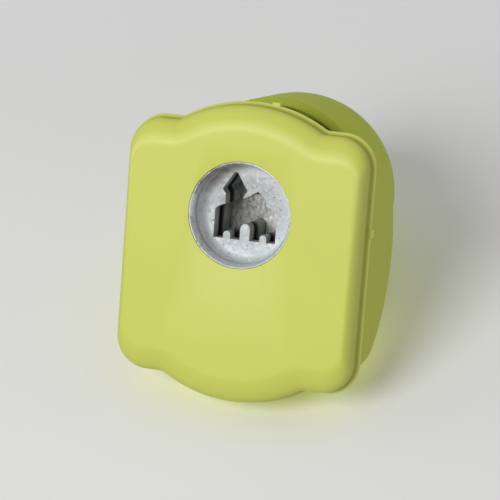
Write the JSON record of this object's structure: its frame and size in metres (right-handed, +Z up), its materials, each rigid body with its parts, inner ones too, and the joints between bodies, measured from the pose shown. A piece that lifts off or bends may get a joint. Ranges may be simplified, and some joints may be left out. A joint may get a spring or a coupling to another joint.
{
  "type": "craft punch",
  "caption": "Small press-down paper punch with a round domed button, an arched body on a clip-on base tray and a castle-shaped die.",
  "frame": {"origin": "in the plane of the base face, under the middle of the punch", "axes": "+Z up as it stands in use, paper goes in from the front at -Y, +X to the right when the front faces the viewer's back"},
  "size_m": [0.0343, 0.0408, 0.0394],
  "materials": {
    "lime_plastic": "moulded, soft gloss",
    "zinc_casting": "as cast, matte and mottled",
    "blade_steel": "ground, scratched at the cutting face",
    "spring_steel": "bright drawn wire",
    "screw_steel": "zinc plated"
  },
  "bodies": {
    "frame": {"base_tray": "lime_plastic", "die_plate": "zinc_casting", "throat_spacer": "zinc_casting", "guide_block": "zinc_casting", "body_shell": "lime_plastic", "spring_washer": "screw_steel", "return_spring": "spring_steel", "frame_screw_left": "screw_steel", "frame_screw_right": "screw_steel", "locating_pin_left": "screw_steel", "locating_pin_right": "screw_steel"},
    "button": {"button_cap": "lime_plastic", "castle_blade": "blade_steel", "punch_head": "zinc_casting", "punch_screw": "screw_steel", "cap_screw_left": "screw_steel", "cap_screw_right": "screw_steel"}
  },
  "joints": [
    {"name": "press", "type": "slide", "parent": "frame", "child": "button", "axis": [0, 0, -1], "range_m": [0, 0.007], "stiffness_N_per_m": 420, "springref_m": -0.004, "deforming": ["return_spring"]}
  ]
}
